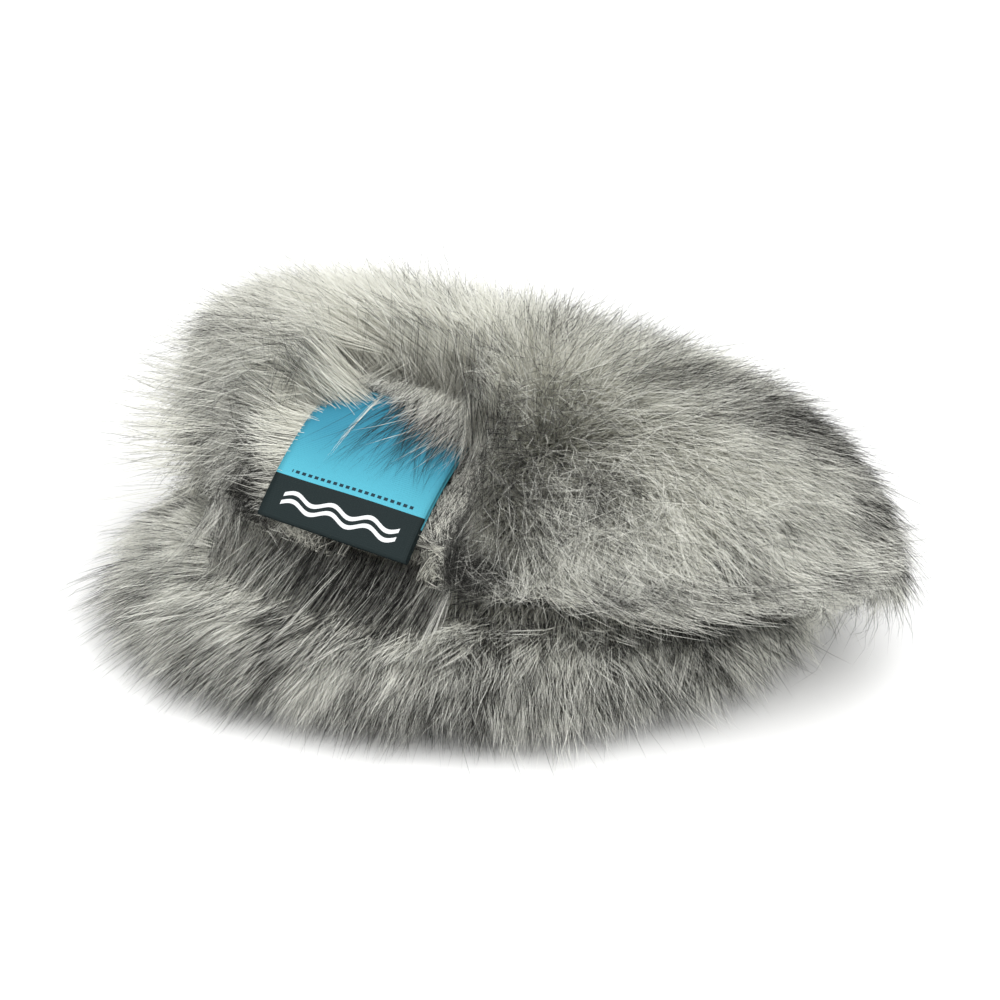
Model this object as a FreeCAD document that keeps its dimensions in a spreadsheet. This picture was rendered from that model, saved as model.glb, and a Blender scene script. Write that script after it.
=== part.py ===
"""Fur slip-on cover for a microphone windshield, lying flat on its side.

A bag of two knitted fur panels, sewn together round the left, back and right and
open at the front. Each open lip is turned in to a hem with elastic inside. A
folded woven label is sewn on the upper panel and lies over the upper lip.

Frame: +X to the right along the mouth, +Y into the bag, +Z up. The origin is the
centre of the footprint, on the surface that the cover lies on. Millimetres.
"""
import FreeCAD, Part
import math
import os

doc = FreeCAD.newDocument("fur_cover")

# ---------------------------------------------------------------- driving dimensions

SIZES = {
    # the sewn bag, without its fur: one rim ellipse with a dome above and one below
    "BagCentreX": -1.6,
    "BagCentreY": 11.0,
    "BagHalfWidth": 76.0,
    "BagHalfDepth": 48.0,
    "UpperBulge": 23.0,
    "LowerBulge": 17.0,
    "Backing": 1.6,
    # the level at which the two panels meet, and half the slit left between them
    "SeamHeight": 32.0,
    "SeamGap": 0.15,
    "MouthHalfHeight": 5.0,
    "MouthSetback": 16.0,
    # fur of the upper panel, an ellipsoid higher at its left end
    "UpperFurX": 4.4,
    "UpperFurY": 7.0,
    "UpperFurHalfWidth": 105.0,
    "UpperFurHalfDepth": 58.0,
    "UpperFurHeight": 60.0,
    "UpperFurTurn": -9.0,
    "UpperFurTilt": 6.0,
    # fur of the lower panel, spread on the surface that the cover lies on
    "LowerFurX": -6.0,
    "LowerFurY": 0.0,
    "LowerFurCentreZ": 5.0,
    "LowerFurHalfWidth": 104.0,
    "LowerFurHalfDepth": 70.0,
    "LowerFurHeight": 55.0,
    "LowerFurTurn": 16.0,
    # hems of the mouth: a turned-in casing with flat elastic inside it
    "CasingThick": 3.0,
    "CasingLower": 5.0,
    "CasingUpper": 7.0,
    "ElasticInset": 1.0,
    "ElasticThick": 1.0,
    "ElasticMargin": 1.2,
    # seam round the left, back and right
    "AllowanceWide": 5.0,
    "AllowanceHigh": 3.2,
    # sewing thread
    "ThreadRadius": 0.35,
    "StitchLength": 2.4,
    # woven label, folded in two, curved over the fur
    "LabelWidth": 46.0,
    "LabelRadius": 75.0,
    "LabelArc": 36.6,
    "TapeThick": 0.7,
    "TapeGap": 0.5,
    "LabelRootX": -30.2,
    "LabelRootY": 6.4,
    "LabelRootZ": 60.2,
    "LabelTurn": -13.5,
    "LabelRootSlope": 5.6,
    # motion: the upper half lifts about the back seam, the label about its stitching
    "MouthSwing": 25.0,
    "LabelSwing": 40.0,
    "Clearance": 1.5,
    # larger than the whole cover, for trimming
    "Far": 150.0,
}

STITCH_PITCH = 4.2        # from one stitch to the next along a hem or seam
TACK = (5.0, 2.4, 3.0)    # bar tack at each end of the mouth: along X, Y and Z
MOUTH_OVERLAP = 2.0       # the hem stitches stop, and the seam stitches run on, this far from the mouth's end
THREAD_LIFT = 0.06        # thread lies this far off the cloth
LABEL_HEADROOM = 27.0     # degrees kept free above the lifted label, for its thickness
LABEL_FOOTROOM = 5.0      # degrees kept free below the label at rest
LABEL_UNDERSIDE = 0.5     # the label swings about a line this far under its back leaf
BACK_MARGIN = 3.0         # degrees kept free behind the upper fur, beyond its swing
STITCH_SETBACK = 2.0      # degrees along the label's curve from its raw ends to its stitches


def make_sheet():
    """The spreadsheet of driving dimensions."""
    table = doc.addObject("Spreadsheet::Sheet", "sheet")
    for row, (alias, value) in enumerate(SIZES.items(), start=1):
        table.set("A%d" % row, alias)
        table.set("B%d" % row, str(value))
        table.setAlias("B%d" % row, alias)
    doc.recompute()
    return table


sheet = make_sheet()


def size(alias):
    return float(getattr(sheet, alias))


def vector(x, y, z):
    return FreeCAD.Vector(x, y, z)


# ---------------------------------------------------------------- building blocks

def primitive(kind, name, formulas):
    """A Part primitive whose sizes follow the spreadsheet."""
    item = doc.addObject("Part::" + kind, name)
    for prop, formula in formulas.items():
        item.setExpression(prop, formula)
    return item


def ellipsoid(name, half_x, half_y, half_z, centre, turn=0.0, tilt=0.0):
    """A whole ellipsoid: turn is about Z, tilt lifts its left end."""
    formulas = {"Radius1": half_z, "Radius2": half_x, "Radius3": half_y}
    item = primitive("Ellipsoid", name, formulas)
    item.Angle1 = -90
    item.Angle2 = 90
    item.Placement = FreeCAD.Placement(centre, FreeCAD.Rotation(turn, tilt, 0))
    return item


def slab(name, bottom, top, front="-sheet.Far", back="sheet.Far"):
    """A level slab across the whole cover, between two heights and two depths."""
    formulas = {
        "Length": "2 * sheet.Far",
        "Width": "(%s) - (%s)" % (back, front),
        "Height": "(%s) - (%s)" % (top, bottom),
        "Placement.Base.x": "-sheet.Far",
        "Placement.Base.y": front,
        "Placement.Base.z": bottom,
    }
    return primitive("Box", name, formulas)


def cut(name, base, tool):
    item = doc.addObject("Part::Cut", name)
    item.Base = base
    item.Tool = tool
    return item


def common(name, *shapes):
    item = doc.addObject("Part::MultiCommon", name)
    item.Shapes = list(shapes)
    return item


def compound(name, links):
    item = doc.addObject("Part::Compound", name)
    item.Links = list(links)
    return item


def bag_ellipsoid(name, bulge, inset):
    """The bag's upper or lower surface, moved inwards by inset."""
    centre = vector(size("BagCentreX"), size("BagCentreY"), size("SeamHeight"))
    return ellipsoid(
        name,
        "sheet.BagHalfWidth - (%s)" % inset,
        "sheet.BagHalfDepth - (%s)" % inset,
        "sheet.%s - (%s)" % (bulge, inset),
        centre,
    )


MOUTH_LINE = "sheet.BagCentreY - sheet.MouthSetback"
LOWER_LIP = "sheet.SeamHeight - sheet.MouthHalfHeight"
UPPER_LIP = "sheet.SeamHeight + sheet.MouthHalfHeight"
LOWER_RIM = "sheet.SeamHeight - sheet.SeamGap"
UPPER_RIM = "sheet.SeamHeight + sheet.SeamGap"

HALVES = {
    "lower": {
        "bulge": "LowerBulge",
        "bottom": "0",
        "top": LOWER_RIM,
        "hem_bottom": LOWER_LIP + " - sheet.CasingLower",
        "hem_top": LOWER_LIP,
    },
    "upper": {
        "bulge": "UpperBulge",
        "bottom": UPPER_RIM,
        "top": "sheet.Far",
        "hem_bottom": UPPER_LIP,
        "hem_top": UPPER_LIP + " + sheet.CasingUpper",
    },
}


def mouth_slit(name):
    """The open slit between the two lips, through the cloth and the fur."""
    return slab(name, LOWER_LIP, UPPER_LIP, back=MOUTH_LINE)


# ---------------------------------------------------------------- cloth of one half

def backing(half):
    """The knitted backing of one fur panel: a thin dome, cut back along the mouth."""
    data = HALVES[half]
    outer = bag_ellipsoid(half + "_cloth_outer", data["bulge"], "0")
    inner = bag_ellipsoid(half + "_cloth_inner", data["bulge"], "sheet.Backing")
    shell = cut(half + "_cloth_shell", outer, inner)
    dome = common(half + "_cloth_dome", shell, slab(half + "_cloth_side", data["bottom"], data["top"]))
    return cut(half + "_backing", dome, mouth_slit(half + "_cloth_slit"))


def hem_band(half, name, near, far, margin):
    """A band along the lip, between two depths under the inner face of the cloth."""
    data = HALVES[half]
    outer = bag_ellipsoid(name + "_outer", data["bulge"], near)
    inner = bag_ellipsoid(name + "_inner", data["bulge"], far)
    shell = cut(name + "_shell", outer, inner)
    bottom = data["hem_bottom"] + " + " + margin
    top = data["hem_top"] + " - " + margin
    side = slab(name + "_side", bottom, top, back=MOUTH_LINE)
    return shell, side


def hem(half):
    """The turned-in casing along one lip, and the flat elastic inside it."""
    cloth = "sheet.Backing"
    channel = cloth + " + sheet.ElasticInset"
    elastic = half + "_hem_elastic"
    shell, side = hem_band(half, elastic, channel, channel + " + sheet.ElasticThick", "sheet.ElasticMargin")
    band = common(elastic, shell, side)
    name = half + "_casing"
    shell, side = hem_band(half, name, cloth, cloth + " + sheet.CasingThick", "0")
    casing = common(name + "_whole", shell, side)
    return cut(half + "_hem_casing", casing, band), band


# ---------------------------------------------------------------- thread

def ellipse_points(half_x, half_y, first, last, pitch):
    """Points about one pitch apart along an ellipse, each with its direction."""
    centre_x = size("BagCentreX")
    centre_y = size("BagCentreY")
    angle = first
    while angle <= last:
        x = half_x * math.cos(angle)
        y = half_y * math.sin(angle)
        along = vector(-half_x * math.sin(angle), half_y * math.cos(angle), 0)
        yield centre_x + x, centre_y + y, along
        angle += pitch / along.Length


def stitch(name, point, along):
    """One straight stitch: a short run of thread centred on a point."""
    formulas = {"Radius": "sheet.ThreadRadius", "Height": "sheet.StitchLength"}
    item = primitive("Cylinder", name, formulas)
    direction = FreeCAD.Vector(along).normalize()
    start = point - direction * (size("StitchLength") / 2)
    item.Placement = FreeCAD.Placement(start, FreeCAD.Rotation(vector(0, 0, 1), direction))
    return item


def hem_stitching(half):
    """The row of stitches that holds the hem, on the inner face of its casing."""
    bulge = size(HALVES[half]["bulge"])
    side = -1 if half == "lower" else 1
    deep = size("CasingLower") if half == "lower" else size("CasingUpper")
    from_rim = size("MouthHalfHeight") + deep / 2
    inset = size("Backing") + size("CasingThick")
    level = math.sqrt(1 - (from_rim / (bulge - inset)) ** 2)
    half_x = (size("BagHalfWidth") - inset) * level
    half_y = (size("BagHalfDepth") - inset) * level
    # the cloth leans in here, so the thread stands off by its radius times that slope
    slope = half_x * from_rim / (level * (bulge - inset)) ** 2
    off = size("ThreadRadius") * (1 + slope) + THREAD_LIFT
    half_x -= off
    half_y -= off
    height = size("SeamHeight") + side * from_rim
    ends = math.asin((size("MouthSetback") + MOUTH_OVERLAP) / half_y)
    row = []
    places = ellipse_points(half_x, half_y, math.pi + ends, 2 * math.pi - ends, STITCH_PITCH)
    for number, (x, y, along) in enumerate(places):
        name = "%s_hem_stitch_%02d" % (half, number)
        row.append(stitch(name, vector(x, y, height), along))
    return compound(half + "_hem_stitching", row)


# ---------------------------------------------------------------- seam round the bag

def seam_allowance():
    """The two cut edges of the panels, turned inside and sewn flat together."""
    outer = bag_ellipsoid("allowance_outer", "LowerBulge", "sheet.Backing")
    oval = doc.addObject("Part::Ellipse", "allowance_oval")
    oval.setExpression("MajorRadius", "sheet.BagHalfWidth - sheet.Backing - sheet.AllowanceWide")
    oval.setExpression("MinorRadius", "sheet.BagHalfDepth - sheet.Backing - sheet.AllowanceWide")
    oval.setExpression("Placement.Base.x", "sheet.BagCentreX")
    oval.setExpression("Placement.Base.y", "sheet.BagCentreY")
    hollow = doc.addObject("Part::Extrusion", "allowance_hollow")
    hollow.Base = oval
    hollow.DirMode = "Custom"
    hollow.Dir = vector(0, 0, 1)
    hollow.setExpression("LengthFwd", "sheet.Far")
    hollow.Solid = True
    ring = cut("allowance_ring", outer, hollow)
    level = slab("allowance_level", LOWER_RIM + " - sheet.AllowanceHigh", LOWER_RIM, front=MOUTH_LINE)
    return common("seam_allowance", ring, level)


def seam_thread():
    """The overlock stitches that close the seam, upright on the allowance's edge."""
    off = size("Backing") + size("AllowanceWide") + size("ThreadRadius") + THREAD_LIFT
    half_x = size("BagHalfWidth") - off
    half_y = size("BagHalfDepth") - off
    height = size("SeamHeight") - size("SeamGap") - size("AllowanceHigh") / 2
    ends = math.asin((size("MouthSetback") - MOUTH_OVERLAP) / half_y)
    row = []
    places = ellipse_points(half_x, half_y, -ends, math.pi + ends, STITCH_PITCH)
    for number, (x, y, _) in enumerate(places):
        row.append(stitch("seam_stitch_%02d" % number, vector(x, y, height), vector(0, 0, 1)))
    return compound("seam_thread", row)


def bar_tack(label, side):
    """The dense block of thread that ends the seam at one corner of the mouth."""
    item = doc.addObject("Part::Box", label)
    item.Length, item.Width, item.Height = TACK
    front = size("MouthSetback") + TACK[1]
    reach = size("BagHalfWidth") * math.sqrt(1 - (front / size("BagHalfDepth")) ** 2)
    inner = reach - size("Backing") - TACK[0] / 2
    x = size("BagCentreX") + side * inner - TACK[0] / 2
    y = size("BagCentreY") - front
    z = size("SeamHeight") - size("SeamGap") - TACK[2]
    item.Placement = FreeCAD.Placement(vector(x, y, z), FreeCAD.Rotation())
    return item


# ---------------------------------------------------------------- fur

def lower_fur():
    """The fur of the lower panel: the space from its backing to the hair tips."""
    centre = vector(size("LowerFurX"), size("LowerFurY"), size("LowerFurCentreZ"))
    whole = ellipsoid(
        "lower_fur_whole",
        "sheet.LowerFurHalfWidth",
        "sheet.LowerFurHalfDepth",
        "sheet.LowerFurHeight",
        centre,
        turn=size("LowerFurTurn"),
    )
    level = common("lower_fur_level", whole, slab("lower_fur_side", "0", LOWER_RIM))
    around = cut("lower_fur_around", level, bag_ellipsoid("lower_fur_core", "LowerBulge", "0"))
    return cut("lower_pile", around, mouth_slit("lower_fur_slit"))


def upper_fur():
    """The fur of the upper panel, with room for the two swings."""
    centre = vector(size("UpperFurX"), size("UpperFurY"), size("SeamHeight"))
    whole = ellipsoid(
        "upper_fur_whole",
        "sheet.UpperFurHalfWidth",
        "sheet.UpperFurHalfDepth",
        "sheet.UpperFurHeight",
        centre,
        turn=size("UpperFurTurn"),
        tilt=size("UpperFurTilt"),
    )
    level = common("upper_fur_level", whole, slab("upper_fur_side", UPPER_RIM, "sheet.Far"))
    around = cut("upper_fur_around", level, bag_ellipsoid("upper_fur_core", "UpperBulge", "0"))
    open_front = cut("upper_fur_front", around, mouth_slit("upper_fur_slit"))
    open_back = cut("upper_fur_back", open_front, back_relief())
    return cut("upper_pile", open_back, label_room())


def back_relief():
    """A wedge behind the back seam, so that the upper fur can tip down over it."""
    item = primitive("Box", "back_relief", {
        "Length": "2 * sheet.Far",
        "Width": "sheet.Far",
        "Height": "sheet.Far",
    })
    turn = FreeCAD.Rotation(vector(1, 0, 0), size("MouthSwing") + BACK_MARGIN)
    hinge = vector(-size("Far"), size("BagCentreY") + size("BagHalfDepth"), size("SeamHeight"))
    item.Placement = FreeCAD.Placement(hinge + turn.multVec(vector(0, 0, -size("Far"))), turn)
    return item


# ---------------------------------------------------------------- label

def label_place():
    """The label's own frame: origin at its stitching, x along it, y towards the back."""
    root = vector(size("LabelRootX"), size("LabelRootY"), size("LabelRootZ"))
    return FreeCAD.Placement(root, FreeCAD.Rotation(size("LabelTurn"), 0, 0))


def across(name, radius, start, sweep, centre, spare="0 * sheet.Clearance"):
    """A sector of a cylinder lying across the label, with spare room at each end."""
    item = primitive("Cylinder", name, {
        "Radius": radius,
        "Height": "sheet.LabelWidth + 2 * %s" % spare,
    })
    item.Angle = sweep
    # the cylinder's axis lies along -x and its zero direction along -y
    lie = FreeCAD.Rotation(vector(0, -1, 0), vector(0, 0, 1), vector(-1, 0, 0), "ZXY")
    spin = FreeCAD.Rotation(vector(0, 0, 1), start)
    doc.recompute([item])
    end = centre + vector(item.Height.Value / 2, 0, 0)
    local = FreeCAD.Placement(end, lie.multiply(spin))
    item.Placement = label_place().multiply(local)
    return item


def label_centre():
    """The centre of the label's curve, below its stitching, in the label's frame."""
    slope = math.radians(size("LabelRootSlope"))
    radius = size("LabelRadius")
    return vector(0, radius * math.sin(slope), -radius * math.cos(slope))


def label_leaf(name, outer, start, sweep):
    """One leaf of the folded tape, as a thin curved strip."""
    centre = label_centre()
    skin = across(name + "_skin", outer, start, sweep, centre)
    core = across(name + "_core", outer + " - sheet.TapeThick", start, sweep, centre)
    return cut(name, skin, core)


def label():
    """The woven tape, folded in two with its fold at the free end."""
    # the curve starts square to the root slope and runs down towards the fold
    top = 90 - size("LabelRootSlope")
    sweep = size("LabelArc")
    start = top - sweep
    leaf_gap = "sheet.TapeThick + sheet.TapeGap"
    front = label_leaf("label_front_leaf", "sheet.LabelRadius", start, sweep)
    rear = label_leaf("label_rear_leaf", "sheet.LabelRadius - (%s)" % leaf_gap, start, sweep)
    fold_radius = size("TapeThick") + size("TapeGap") / 2
    middle = size("LabelRadius") - fold_radius
    end = math.radians(start)
    at = label_centre() + vector(0, -middle * math.cos(end), middle * math.sin(end))
    bend = across("label_bend_skin", "sheet.TapeThick + sheet.TapeGap / 2", start - 180, 180, at)
    bore = across("label_bend_core", "sheet.TapeGap / 2", start - 180, 180, at)
    fold = cut("label_fold", bend, bore)
    tape = doc.addObject("Part::MultiFuse", "label_tape")
    tape.Shapes = [front, rear, fold]
    return tape


def label_room():
    """The space that the label sweeps through as it lifts."""
    chord = 2 * size("LabelRadius") * math.sin(math.radians(size("LabelArc") / 2))
    down = size("LabelRootSlope") + size("LabelArc") / 2 + LABEL_FOOTROOM
    sweep = down + size("LabelSwing") + LABEL_HEADROOM
    reach = "%.3f + 2 * sheet.Clearance" % chord
    apex = vector(0, 0, -2 * size("TapeThick") - size("TapeGap") - LABEL_UNDERSIDE)
    fan = across("label_fan", reach, -down, sweep, apex, spare="sheet.Clearance")
    hub = across("label_hub", "4 * sheet.Clearance", 0, 360, apex, spare="sheet.Clearance")
    room = doc.addObject("Part::MultiFuse", "label_room")
    room.Shapes = [fan, hub]
    return room


def label_stitching():
    """The row of stitches across the label's raw ends, on its outer face."""
    count = int(size("LabelWidth") // STITCH_PITCH)
    slope = math.radians(size("LabelRootSlope") + STITCH_SETBACK)
    rise = size("LabelRadius") + size("ThreadRadius") + THREAD_LIFT
    place = label_place()
    along = place.Rotation.multVec(vector(1, 0, 0))
    row = []
    for number in range(count):
        x = (number - (count - 1) / 2) * STITCH_PITCH
        local = label_centre() + vector(x, -rise * math.sin(slope), rise * math.cos(slope))
        row.append(stitch("label_stitch_%02d" % number, place.multVec(local), along))
    return compound("label_stitching", row)


# ---------------------------------------------------------------- the whole cover

def build():
    """Every separate piece of the cover, as the objects that are written out."""
    pieces = []
    for half in ("lower", "upper"):
        casing, elastic = hem(half)
        pieces += [backing(half), casing, elastic, hem_stitching(half)]
    pieces += [seam_allowance(), seam_thread()]
    pieces += [bar_tack("left_bar_tack", -1), bar_tack("right_bar_tack", 1)]
    pieces += [lower_fur(), upper_fur(), label(), label_stitching()]
    for item in pieces:
        item.Label = item.Name
    return pieces


def check(pieces):
    """Stop if any object failed or any piece is not a sound solid."""
    for item in doc.Objects:
        if "Invalid" in item.State or "Error" in item.State:
            raise RuntimeError("%s failed: %s" % (item.Name, item.State))
    for item in pieces:
        shape = item.Shape
        if shape.isNull() or not shape.isValid() or not shape.Solids:
            raise RuntimeError("%s is not a valid solid" % item.Label)


def write(pieces):
    os.makedirs("parts", exist_ok=True)
    for item in pieces:
        item.Shape.exportStep("parts/%s.step" % item.Label)
        box = item.Shape.BoundBox
        print("%-20s solids %3d  volume %10.1f  x %6.1f %6.1f  y %6.1f %6.1f  z %6.1f %6.1f" % (
            item.Label, len(item.Shape.Solids), item.Shape.Volume,
            box.XMin, box.XMax, box.YMin, box.YMax, box.ZMin, box.ZMax))


pieces = build()
doc.recompute()
check(pieces)
write(pieces)
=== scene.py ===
"""Looks of the fur windshield cover: hair, cloth, label, floor, light and camera.

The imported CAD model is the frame. The two fur solids, the two cloth domes and the
label tape are replaced by detailed pieces. The hems, elastic, thread and seam keep
their CAD shape and get woven or spun materials. Everything is in metres.
"""
import math

import bpy
import numpy as np

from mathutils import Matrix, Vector


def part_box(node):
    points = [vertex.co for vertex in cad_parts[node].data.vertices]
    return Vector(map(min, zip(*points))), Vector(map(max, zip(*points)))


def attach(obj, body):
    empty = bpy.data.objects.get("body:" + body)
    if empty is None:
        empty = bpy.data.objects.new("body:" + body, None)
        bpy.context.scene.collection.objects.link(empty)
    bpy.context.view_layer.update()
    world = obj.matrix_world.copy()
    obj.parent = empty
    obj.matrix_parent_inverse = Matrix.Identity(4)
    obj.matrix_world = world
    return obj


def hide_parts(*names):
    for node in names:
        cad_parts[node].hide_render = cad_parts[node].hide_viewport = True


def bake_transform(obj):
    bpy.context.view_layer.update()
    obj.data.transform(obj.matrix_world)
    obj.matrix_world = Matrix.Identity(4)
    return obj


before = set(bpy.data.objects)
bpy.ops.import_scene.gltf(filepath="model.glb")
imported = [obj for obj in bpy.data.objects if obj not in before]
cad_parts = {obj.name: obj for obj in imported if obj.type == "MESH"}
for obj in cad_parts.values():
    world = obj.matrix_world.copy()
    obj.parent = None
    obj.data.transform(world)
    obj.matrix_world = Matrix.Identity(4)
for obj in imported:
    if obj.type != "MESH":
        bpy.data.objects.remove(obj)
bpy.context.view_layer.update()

MM = 0.001
rng = np.random.default_rng(7)

# ---------------------------------------------------------------- driving dimensions

# the sewn bag: one rim ellipse with a dome above and one below
BAG_HALF = np.array([76.0, 48.0]) * MM
BACKING_LOW, BACKING_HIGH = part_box("upper_backing")
BAG_TOP = BACKING_HIGH.z
BAG_CENTRE = np.array([(BACKING_LOW.x + BACKING_HIGH.x) / 2, BACKING_HIGH.y - BAG_HALF[1], 32.0 * MM])
BAG_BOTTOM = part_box("lower_backing")[0].z
MOUTH_Y = BAG_CENTRE[1] - 16.0 * MM
LIP = 5.0 * MM
# the seam between the two halves lies between these heights, and they part by this much
SEAM_LOW, SEAM_HIGH = 27 * MM, 37 * MM
SEAM_GAP = 0.3 * MM
CLOTH = 1.2 * MM

# the label: a folded tape curved about an axis that lies across it
LABEL_ROOT = np.array([-30.2, 6.4, 60.2]) * MM
LABEL_TURN = math.radians(-13.5)
LABEL_SLOPE = math.radians(5.6)
LABEL_ARC = math.radians(36.6)
LABEL_RADIUS = 75.0 * MM
LABEL_WIDTH = 46.0 * MM
TAPE = 0.7 * MM
TAPE_GAP = 0.5 * MM

# hair near the label is pressed under it: how deep, how far out at the sides and in front,
# and how steeply it comes back up at the sides and goes down in front
PRESSED_DEPTH = 2 * TAPE + TAPE_GAP + 0.4 * MM
PRESSED_BESIDE, RISE_BESIDE = 13 * MM, 0.6
PRESSED_AHEAD, DROP_AHEAD = 0.34, 26 * MM
# the tones of hair that only starts under the label, and of hair that ends there: painted shadow of the
# label
NEAR_LABEL_SHADOW_TONE, LABEL_SHADOW_TONE = 0.42, 0.9
MOVED = 1.5 * MM

# how far down the label its cover hair reaches, by place across it: share of the width, and mm
COVER_PLACE = [-0.60, -0.50, -0.20, 0.00, 0.50, 0.62]
COVER_REACH = [11.0, 10.0, 3.0, 8.0, 24.0, 27.0]


def unit(v):
    """Rows of v scaled to length one."""
    return v / np.maximum(np.linalg.norm(v, axis=-1, keepdims=True), 1e-12)


class Ellipsoid:
    """An ellipsoid turned about Z and tilted so that its left end rises."""

    def __init__(self, centre, half, turn=0.0, tilt=0.0):
        self.centre = np.array(centre)
        self.half = np.array(half)
        a, b = math.radians(turn), math.radians(tilt)
        about_z = np.array([[math.cos(a), -math.sin(a), 0], [math.sin(a), math.cos(a), 0], [0, 0, 1]])
        about_y = np.array([[math.cos(b), 0, math.sin(b)], [0, 1, 0], [-math.sin(b), 0, math.cos(b)]])
        self.axes = about_z @ about_y

    def local(self, p):
        """Points in the ellipsoid's own axes."""
        return (p - self.centre) @ self.axes

    def project(self, p):
        """The points on the surface straight out from the centre through p."""
        q = self.local(p)
        q = q / np.linalg.norm(q / self.half, axis=-1, keepdims=True)
        return self.centre + q @ self.axes.T

    def normal(self, p):
        """The outward direction at points on or near the surface."""
        q = self.local(p) / self.half ** 2
        return unit(q @ self.axes.T)


UPPER_BAG = Ellipsoid(BAG_CENTRE, [*BAG_HALF, BAG_TOP - BAG_CENTRE[2]])
LOWER_BAG = Ellipsoid(BAG_CENTRE, [*BAG_HALF, BAG_CENTRE[2] - BAG_BOTTOM])
UPPER_FUR = Ellipsoid(np.array([4.4, 7.0, 32.0]) * MM, np.array([105.0, 58.0, 60.0]) * MM, -9.0, 6.0)
LOWER_FUR = Ellipsoid(np.array([-6.0, 0.0, 5.0]) * MM, np.array([104.0, 70.0, 55.0]) * MM, 16.0)


# ---------------------------------------------------------------- materials

def new_material(name, roughness=0.8, specular=0.3):
    """A node material, its tree and its shader."""
    material = bpy.data.materials.new(name)
    material.use_nodes = True
    tree = material.node_tree
    shader = tree.nodes["Principled BSDF"]
    shader.inputs["Roughness"].default_value = roughness
    shader.inputs["Specular IOR Level"].default_value = specular
    return material, tree, shader


def add(tree, kind, inputs=None, **settings):
    """A new shader node, with its inputs set or linked."""
    node = tree.nodes.new("ShaderNode" + kind)
    for key, value in settings.items():
        setattr(node, key, value)
    for key, value in (inputs or {}).items():
        if isinstance(value, bpy.types.NodeSocket):
            tree.links.new(value, node.inputs[key])
        else:
            node.inputs[key].default_value = value
    return node


def ramp(tree, factor, stops, interpolation="LINEAR"):
    """A colour ramp from (position, grey or colour) stops."""
    node = add(tree, "ValToRGB", {"Fac": factor})
    node.color_ramp.interpolation = interpolation
    elements = node.color_ramp.elements
    while len(elements) < len(stops):
        elements.new(0.5)
    for element, (position, colour) in zip(elements, stops):
        element.position = position
        element.color = (*colour, 1.0)
    return node.outputs["Color"]


def math_node(tree, operation, *values):
    """The result of one arithmetic node."""
    return add(tree, "Math", dict(enumerate(values)), operation=operation).outputs[0]


def blend_colours(tree, factor, first, second, mode="MIX"):
    """The result of one colour mix node."""
    node = add(tree, "Mix", data_type="RGBA", blend_type=mode)
    for key, value in ((0, factor), (6, first), (7, second)):
        if isinstance(value, bpy.types.NodeSocket):
            tree.links.new(value, node.inputs[key])
        else:
            node.inputs[key].default_value = value
    return node.outputs[2]


STRAND_UV = "OFBake"

# colours along a pale strand, from its shaded root to its tip
SHAFT = [(0.0, (0.15, 0.145, 0.120)), (0.22, (0.50, 0.49, 0.43)), (0.50, (0.80, 0.795, 0.71)),
         (0.80, (0.88, 0.88, 0.81)), (1.0, (0.86, 0.86, 0.80))]
DARK_TIP = (0.036, 0.036, 0.033, 1.0)
# where along a strand its dark tip starts: at tone 0, and how far it moves down by tone 1
TIP_START, TIP_GROWTH = 1.04, -0.62
# past this tone the tip grows faster still
DEEP_TONE, DEEP_GROWTH = 0.92, -3.0
TIP_SHARPNESS = 4.0


def fur_material():
    """Hair: a pale shaft from a shaded root, with a dark tip as long as the strand's tone says."""
    material, tree, shader = new_material("fur_hair", roughness=0.8, specular=0.10)
    place = add(tree, "UVMap", uv_map=STRAND_UV)
    split = add(tree, "SeparateXYZ", {"Vector": place.outputs["UV"]})
    tone, along = split.outputs["X"], split.outputs["Y"]
    shaft = ramp(tree, along, SHAFT)
    plain = math_node(tree, "MULTIPLY_ADD", tone, TIP_GROWTH, TIP_START)
    # the darkest strands are dark almost to the root: painted shade deep in the mouth and under the
    # label, and the darkest of the dark clumps elsewhere
    deep = math_node(tree, "MAXIMUM", math_node(tree, "SUBTRACT", tone, DEEP_TONE), 0.0)
    start = math_node(tree, "MULTIPLY_ADD", deep, DEEP_GROWTH, plain)
    past = math_node(tree, "SUBTRACT", along, start)
    tip = add(tree, "Math", {0: past, 1: TIP_SHARPNESS}, operation="MULTIPLY", use_clamp=True).outputs[0]
    colour = blend_colours(tree, tip, shaft, DARK_TIP)
    tree.links.new(colour, shader.inputs["Base Color"])
    return material


# ---------------------------------------------------------------- hair

# a strand's rings of three corners: how far along it, and how thick as a share of its width
RINGS = np.array([0.0, 0.36, 0.68, 0.90])
GIRTH = np.array([0.55, 1.0, 0.85, 0.45])
# the corners of a ring differ by this in tone, so that no face has an empty place in the UV map
TONE_SPREAD = 0.006


class Hair:
    """Many strands: a curve of four control points each, with width and tone."""

    def __init__(self, curve, width, tone, wave=0.0):
        self.curve = curve
        self.width = width
        self.tone = tone
        self.wave = wave

    def sample(self, t):
        """Points and directions of every strand at the steps t."""
        t = np.asarray(t)[None, :, None]
        p0, p1, p2, p3 = (self.curve[:, i, None, :] for i in range(4))
        s = 1 - t
        point = s ** 3 * p0 + 3 * s * s * t * p1 + 3 * s * t * t * p2 + t ** 3 * p3
        along = 3 * s * s * (p1 - p0) + 6 * s * t * (p2 - p1) + 3 * t * t * (p3 - p2)
        return point, unit(along)

    def take(self, keep):
        """Only the strands that keep picks out."""
        wave = self.wave[keep] if isinstance(self.wave, np.ndarray) else self.wave
        return Hair(self.curve[keep], self.width[keep], self.tone[keep], wave)


# the hair stays inside this box: half widths from the middle, and top
FUR_BOX = np.array([120.0, 84.5]) * MM
HIGHEST = 101 * MM


def inside_box(point):
    """Move points off the floor and inside the hair's box."""
    flat = np.clip(point[..., :2], -FUR_BOX, FUR_BOX)
    level = np.clip(point[..., 2:], 0.5 * MM, HIGHEST)
    return np.concatenate([flat, level], -1)


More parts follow.
